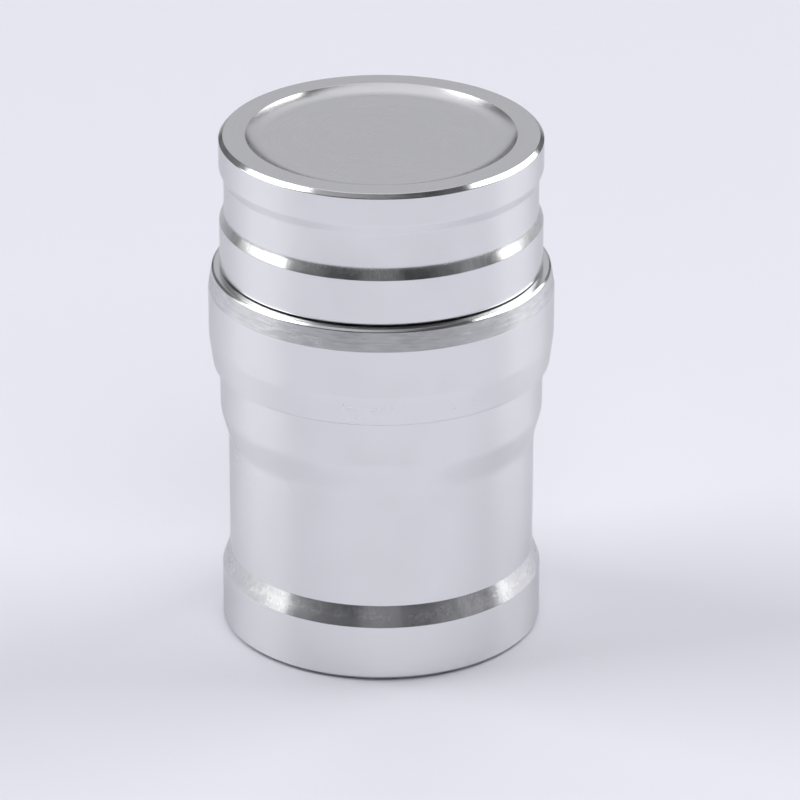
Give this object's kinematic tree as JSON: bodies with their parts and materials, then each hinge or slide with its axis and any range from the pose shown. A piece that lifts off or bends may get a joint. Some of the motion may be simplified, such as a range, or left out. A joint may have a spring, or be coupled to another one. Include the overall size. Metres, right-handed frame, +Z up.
{
  "type": "spin-lock puzzle capsule",
  "caption": "Turned metal puzzle capsule with a hidden cavity. Spinning it throws loose lock pins outwards, and the grooved lid then turns and lifts off.",
  "frame": {"origin": "centre of the foot ring's lower face, on the turning axis", "axes": "+Z up along the turning axis, towards the lid; +X through the gap midway between two lock pins and through the two dowels"},
  "size_m": [0.0296, 0.0296, 0.045],
  "materials": {
    "turned_aluminium": "bright turned, fine lathe lines, brushed on the sloping bands",
    "brass": "turned and cross-drilled",
    "plug_steel": "fine turned",
    "glide_plastic": "waxy, slippery",
    "foot_plastic": "machined, satin",
    "felt": "pressed felt",
    "black_steel": "black oxide",
    "spring_steel": "zinc plated, dull",
    "ground_steel": "centreless ground, bright"
  },
  "bodies": {
    "body": {"body_cup": "turned_aluminium", "collar_sleeve": "turned_aluminium", "pin_carrier": "brass", "carrier_dowel": "ground_steel", "foot_ring": "foot_plastic", "stash_pad": "felt"},
    "washer": {"glide_washer": "glide_plastic"},
    "lid": {"lid_plug": "plug_steel", "lid_cap": "turned_aluminium", "lid_screw": "black_steel", "spring_washer": "spring_steel", "lid_dowel": "ground_steel"},
    "pin_1": {"lock_pin_1": "ground_steel"},
    "pin_2": {"lock_pin_2": "ground_steel"},
    "pin_3": {"lock_pin_3": "ground_steel"},
    "pin_4": {"lock_pin_4": "ground_steel"},
    "pin_5": {"lock_pin_5": "ground_steel"},
    "pin_6": {"lock_pin_6": "ground_steel"},
    "pin_7": {"lock_pin_7": "ground_steel"},
    "pin_8": {"lock_pin_8": "ground_steel"}
  },
  "joints": [
    {"name": "lid_turn", "type": "hinge", "parent": "body", "child": "washer", "pos_m": [0, 0, 0.0316], "axis": [0, 0, 1], "continuous": true},
    {"name": "lid_lift", "type": "slide", "parent": "washer", "child": "lid", "axis": [0, 0, 1], "range_m": [0, 0.03]},
    {"name": "pin_1_slide", "type": "slide", "parent": "body", "child": "pin_1", "axis": [0.9239, 0.3827, 0], "range_m": [-0.0013, 0]},
    {"name": "pin_2_slide", "type": "slide", "parent": "body", "child": "pin_2", "axis": [0.3827, 0.9239, 0], "range_m": [-0.0013, 0]},
    {"name": "pin_3_slide", "type": "slide", "parent": "body", "child": "pin_3", "axis": [-0.3827, 0.9239, 0], "range_m": [-0.0013, 0]},
    {"name": "pin_4_slide", "type": "slide", "parent": "body", "child": "pin_4", "axis": [-0.9239, 0.3827, 0], "range_m": [-0.0013, 0]},
    {"name": "pin_5_slide", "type": "slide", "parent": "body", "child": "pin_5", "axis": [-0.9239, -0.3827, 0], "range_m": [-0.0013, 0]},
    {"name": "pin_6_slide", "type": "slide", "parent": "body", "child": "pin_6", "axis": [-0.3827, -0.9239, 0], "range_m": [-0.0013, 0]},
    {"name": "pin_7_slide", "type": "slide", "parent": "body", "child": "pin_7", "axis": [0.3827, -0.9239, 0], "range_m": [-0.0013, 0]},
    {"name": "pin_8_slide", "type": "slide", "parent": "body", "child": "pin_8", "axis": [0.9239, -0.3827, 0], "range_m": [-0.0013, 0]}
  ]
}
